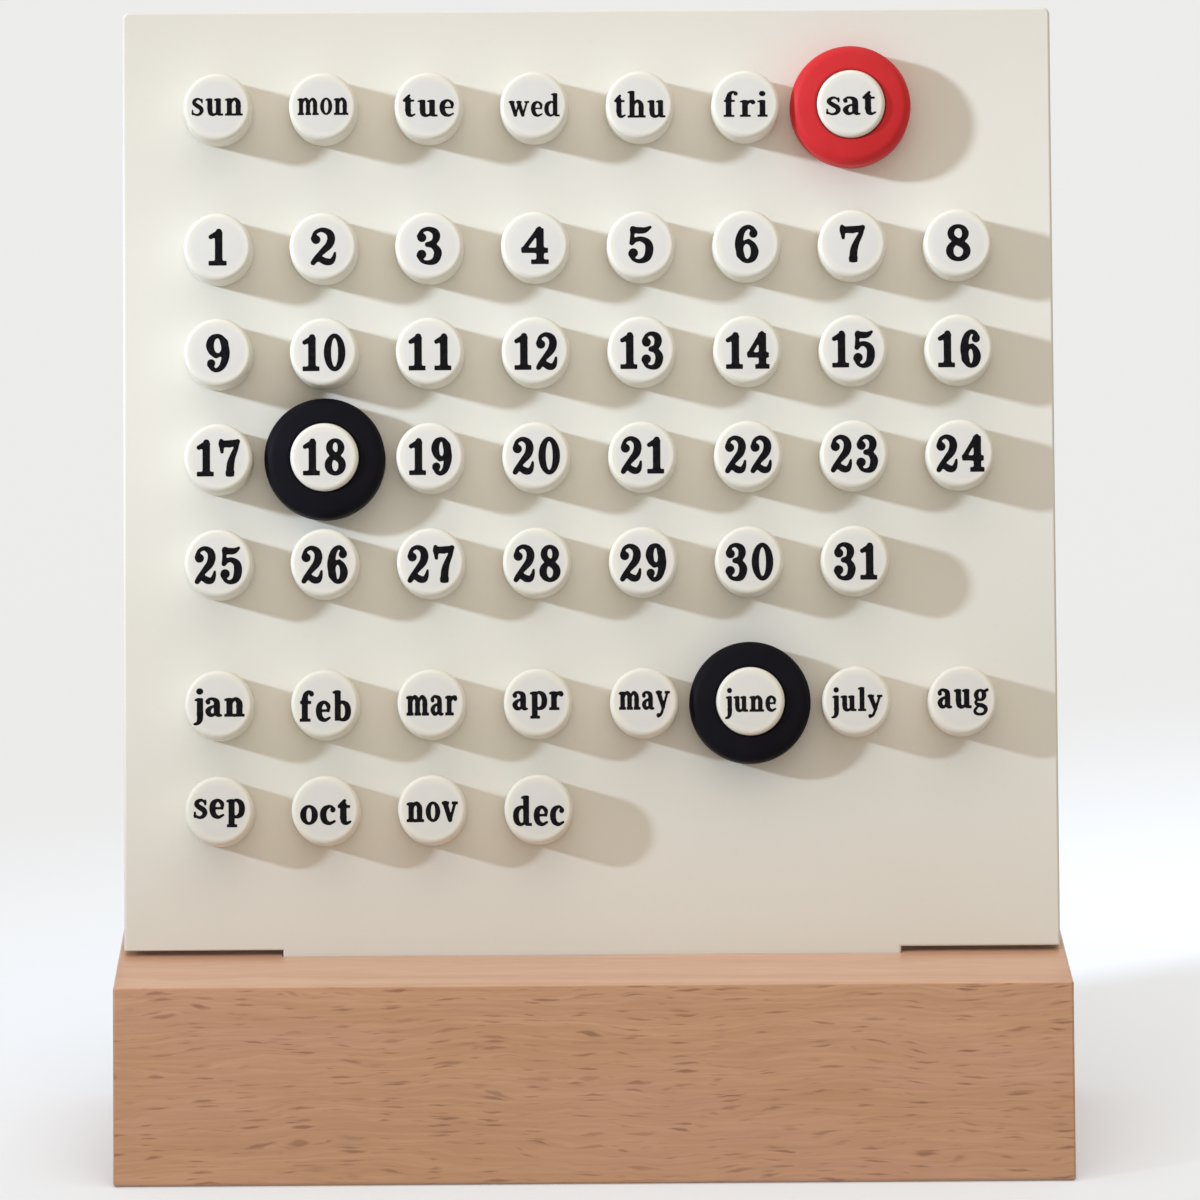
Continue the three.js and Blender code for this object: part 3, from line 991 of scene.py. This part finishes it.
# Sides that an outline enters and leaves a grid cell by, for each sum of the corners that lie inside.
# Corners count 1, 2, 4 and 8 from the lower left round, and sides 0 to 3 from the foot.
CELL_PATHS = {
    1: [(0, 3)], 2: [(1, 0)], 3: [(1, 3)], 4: [(2, 1)], 5: [(0, 3), (2, 1)], 6: [(2, 0)], 7: [(2, 3)],
    8: [(3, 2)], 9: [(0, 2)], 10: [(1, 0), (3, 2)], 11: [(1, 2)], 12: [(3, 1)], 13: [(0, 1)], 14: [(3, 0)],
}
CELL_SIDES = [((0, 0), (0, 1)), ((0, 1), (1, 1)), ((1, 0), (1, 1)), ((0, 0), (1, 0))]


def traced(shapes):
    """Closed outlines of a glyph, with its inside on their left."""
    left, foot, right, top = glyph_box(shapes)
    xs = np.arange(left - 2 * OUTLINE_STEP, right + 3 * OUTLINE_STEP, OUTLINE_STEP)
    ys = np.arange(foot - 2 * OUTLINE_STEP, top + 3 * OUTLINE_STEP, OUTLINE_STEP)
    field = glyph_depth(shapes, *np.meshgrid(xs, ys))
    inside = (field > 0).astype(int)
    cells = inside[:-1, :-1] + 2 * inside[:-1, 1:] + 4 * inside[1:, 1:] + 8 * inside[1:, :-1]

    def crossing(row, column, side):
        (r0, c0), (r1, c1) = ((row + dr, column + dc) for dr, dc in CELL_SIDES[side])
        share = field[r0, c0] / (field[r0, c0] - field[r1, c1])
        spot = (xs[c0] + share * (xs[c1] - xs[c0]), ys[r0] + share * (ys[r1] - ys[r0]))
        return (r0, c0, r1, c1), spot

    following = {}
    spots = {}
    for row, column in zip(*np.nonzero(np.isin(cells, list(CELL_PATHS)))):
        for enter, leave in CELL_PATHS[cells[row, column]]:
            start, spot = crossing(row, column, enter)
            following[start], _ = crossing(row, column, leave)
            spots[start] = spot
    loops = []
    while following:
        first = next(iter(following))
        key = first
        loop = []
        while key in following:
            loop.append(spots[key])
            key = following.pop(key)
        loops.append(thinned(loop))
    return loops


def thinned(loop):
    """A loop without the points that lie on the line between those left."""
    points = np.array(loop)
    half = int(np.argmax(np.hypot(*(points - points[0]).T)))

    def kept(start, end):
        stretch = points[start:end + 1]
        along = stretch[-1] - stretch[0]
        away = np.abs(np.cross(along, stretch - stretch[0])) / np.hypot(*along)
        furthest = int(np.argmax(away))
        if away[furthest] < OUTLINE_TOLERANCE:
            return [start]
        return kept(start, start + furthest) + kept(start + furthest, end)

    points = np.vstack([points, points[:1]])
    return [tuple(points[i]) for i in kept(0, half) + kept(half, len(points) - 1)]


def narrowed(shapes, share):
    """The same shapes, drawn in across to a share, with strokes as wide as before."""
    made = []
    for shape in shapes:
        if isinstance(shape, tuple):
            left, foot, right, top = shape
            middle = (left + right) / 2 * share
            half = (right - left) / 2
            half = half if half < NARROW_BAR else half * share
            made.append((middle - half, foot, middle + half, top))
        else:
            made.append(shape * (share, 1, 1))
    return made


def weighted(shapes, weight):
    """The same shapes, drawn wider all round."""
    made = []
    for shape in shapes:
        if isinstance(shape, tuple):
            left, foot, right, top = shape
            made.append((left - weight, foot - weight, right + weight, top + weight))
        else:
            made.append(shape + (0, 0, 2 * weight))
    return made


glyph_fills = {}


def glyph_fill(letter, paired, weight):
    """A glyph's flat points and triangles, and its box, worked out once."""
    key = (letter, paired, weight)
    if key not in glyph_fills:
        shapes = (FIGURES if letter.isdigit() else LETTERS)[letter]
        if paired and letter.isdigit():
            shapes = narrowed(shapes, PAIR_ONE_SHARE if letter == "1" else PAIR_SHARE)
        shapes = weighted(shapes, weight)
        points, triangles = filled(traced(shapes))
        glyph_fills[key] = (points, triangles, glyph_box(shapes))
    return glyph_fills[key]


def label_print(text, axis, face):
    """Points and faces of a label's closed ink, centred across its peg's printed face."""
    number = text.isdigit()
    month = text in MONTH_SIZES
    unit = (FIGURE_HEIGHT if number else WORD_SIZES[text] * MM) / GLYPH_SCALE
    weight = FIGURE_WEIGHT if number else MONTH_WEIGHT * month
    drop = DATE_DROPS[(int(text) - 1) // DATES_IN_ROW] if number else MONTH_DROP * month
    glyphs = [glyph_fill(letter, len(text) > 1, weight) for letter in text]
    inked = sum(box[2] - box[0] for _, _, box in glyphs)
    gap = min(max(PAIR_WIDTH - inked, PAIR_GAPS[0]), PAIR_GAPS[1]) if number else LETTER_GAP
    width = inked + gap * (len(text) - 1)
    squeeze = 1 if number else min(WORD_WIDTH / (width * unit), WIDEST_STRETCH)
    middle = (min(box[1] for _, _, box in glyphs) + max(box[3] for _, _, box in glyphs)) / 2
    points = []
    faces = []
    pen_x = -width / 2
    for flat, triangles, box in glyphs:
        across = axis.x + (flat[:, 0] - box[0] + pen_x) * unit * squeeze
        up = axis.y + (flat[:, 1] - middle) * unit - drop
        low = len(points)
        high = low + len(flat)
        for level in (INK_GAP, INK_GAP + INK_THICKNESS):
            points += [(x, y, face + level) for x, y in zip(across, up)]
        sides = {}
        for triangle in triangles:
            faces.append([high + i for i in triangle])
            faces.append([low + i for i in reversed(triangle)])
            for start, end in zip(triangle, [*triangle[1:], triangle[0]]):
                sides[(start, end)] = True
        for start, end in sides:
            if (end, start) not in sides:
                faces.append([low + start, low + end, high + end, high + start])
        pen_x += box[2] - box[0] + gap
    return points, faces


def labels_mesh(name, texts, face):
    """All the prints of one group of pegs, as one mesh."""
    points = []
    faces = []
    for node, text in texts.items():
        label_points, label_faces = label_print(text, turning_axis(node), face)
        start = len(points)
        points += label_points
        faces += [[start + index for index in corners] for corners in label_faces]
    return mesh_of(name, points, faces)


# Assembly


def build_calendar():
    """Builds every piece on the body that carries its CAD node."""
    pegs = [name for name in nodes if name.startswith("peg_")]
    axes = {name: turning_axis(name) for name in pegs}
    face = on_panel("peg_sun")[:, 2].max()

    block = block_mesh()
    piece("beech_block", block, Matrix.Identity(4), "base", beech_finish(), ["base_block"])
    board = panel_mesh(list(axes.values()))
    piece("painted_panel", board, PANEL, "panel", panel_finish(), ["calendar_panel"])

    peg = peg_mesh()
    paint = peg_finish()
    for name, axis in axes.items():
        place = PANEL @ Matrix.Translation(axis)
        piece(f"{name}_turned", peg, place, "panel", paint, [name])

    red = plastic_finish("red_plastic", REDS, RED_SHINE)
    black = plastic_finish("black_plastic", BLACKS, BLACK_SHINE)
    for name in ("weekday_ring", "date_ring", "month_ring"):
        place = PANEL @ Matrix.Translation(turning_axis(name))
        look, slot = (red, "red_ring") if name == "weekday_ring" else (black, "black_ring")
        piece(f"{name}_round", ring_mesh(name), place, name, look, [name])

    ink = ink_finish()
    texts = {name: name.removeprefix("peg_").removeprefix("day_").lstrip("0") for name in pegs}
    groups = {"weekday_labels": WEEKDAY_SIZES, "date_labels": DATES, "month_labels": MONTH_SIZES}
    for group, words in groups.items():
        chosen = {name: text for name, text in texts.items() if text in words}
        piece(group, labels_mesh(group, chosen, face), PANEL, "panel", ink)


def fine_edges():
    """Eases the mortise's rim, and keeps flat faces flat in the shading."""
    block = bpy.data.objects["beech_block"]
    bevel = block.modifiers.new("eased_rim", "BEVEL")
    bevel.width = MORTISE_RIM_RADIUS
    bevel.segments = MORTISE_RIM_STEPS
    bevel.limit_method = "ANGLE"
    bevel.angle_limit = MORTISE_RIM_ANGLE
    for made in (block, bpy.data.objects["painted_panel"]):
        made.modifiers.new("flat_shading", "WEIGHTED_NORMAL").keep_sharp = True


# Studio


def floor():
    """A pale floor that doesn't tint the calendar."""
    half = FLOOR_SIZE / 2
    corners = [(-half, -half), (half, -half), (half, half), (-half, half)]
    mesh = mesh_of("floor", [(x, y, -FLOOR_DROP) for x, y in corners], [(0, 1, 2, 3)])
    pale = Finish("pale_floor", Specular_IOR_Level=0.0, Roughness=1.0)
    mesh.materials.append(pale.finish(Base_Color=rgb(*FLOOR_COLOUR), Emission_Strength=FLOOR_GLOW))
    made = added("floor", mesh)
    made.visible_diffuse = False


def camera():
    """The photograph's viewpoint, fitted to where the pegs and edges lie in it."""
    level = math.cos(CAMERA_PITCH)
    ahead = Vector((math.sin(CAMERA_YAW) * level, math.cos(CAMERA_YAW) * level, -math.sin(CAMERA_PITCH)))
    right = ahead.cross(Vector((0, 0, 1))).normalized()
    up = right.cross(ahead)
    rolled_right = right * math.cos(CAMERA_ROLL) + up * math.sin(CAMERA_ROLL)
    rolled_up = up * math.cos(CAMERA_ROLL) - right * math.sin(CAMERA_ROLL)
    lens = bpy.data.cameras.new("camera")
    lens.lens = CAMERA_LENS
    lens.sensor_width = SENSOR_WIDTH
    made = added("camera", lens)
    turn = Matrix((rolled_right, rolled_up, -ahead)).transposed().to_4x4()
    made.matrix_world = Matrix.Translation(CAMERA_AIM - CAMERA_DISTANCE * ahead) @ turn
    bpy.context.scene.camera = made


def key_light():
    """A soft spot from the upper left whose lower edge fades out across the panel's foot."""
    data = bpy.data.lights.new("key", "SPOT")
    data.spot_size = KEY_SPREAD
    data.spot_blend = KEY_BLEND
    data.shadow_soft_size = KEY_RADIUS
    data.color = KEY_COLOUR
    data.energy = KEY_POWER
    travel = KEY_TRAVEL.normalized()
    up = KEY_LEVEL.cross(travel).normalized()
    turn = Matrix((-up.cross(travel), up, -travel)).transposed().to_4x4()
    place = Matrix.Translation(PANEL @ KEY_AIM - KEY_DISTANCE * travel)
    added("key", data).matrix_world = place @ turn @ Matrix.Diagonal((KEY_STRETCH, 1, 1, 1))


def sky():
    """A pale warm surround, brightest overhead, and stronger square to the panel's front and back."""
    world = bpy.data.worlds.new("studio")
    world.use_nodes = True
    nodes_of = Nodes(world.node_tree)
    direction = nodes_of.add("ShaderNodeTexCoord").outputs["Generated"]
    height = nodes_of.parts(direction)["Z"]
    even = nodes_of.range(height, -HORIZON_BLEND, HORIZON_BLEND, GROUND_STRENGTH, SKY_STRENGTH)
    overhead = nodes_of.math("POWER", nodes_of.math("MAXIMUM", height, 0.0), ZENITH_FOCUS)
    zenith = nodes_of.math("MULTIPLY", overhead, ZENITH_STRENGTH)
    facing = nodes_of.vector_math("DOT_PRODUCT", direction, tuple(out_of_panel))["Value"]
    square = nodes_of.math("POWER", nodes_of.math("ABSOLUTE", facing), FACE_FOCUS)
    face = nodes_of.math("MULTIPLY", square, FACE_STRENGTH)
    strength = nodes_of.math("ADD", nodes_of.math("ADD", even, zenith), face)
    nodes_of.set(world.node_tree.nodes["Background"], {"Color": rgb(*SKY_COLOUR), "Strength": strength})
    bpy.context.scene.world = world
    bpy.context.scene.view_settings.view_transform = "Standard"


build_calendar()
fine_edges()
floor()
camera()
key_light()
sky()
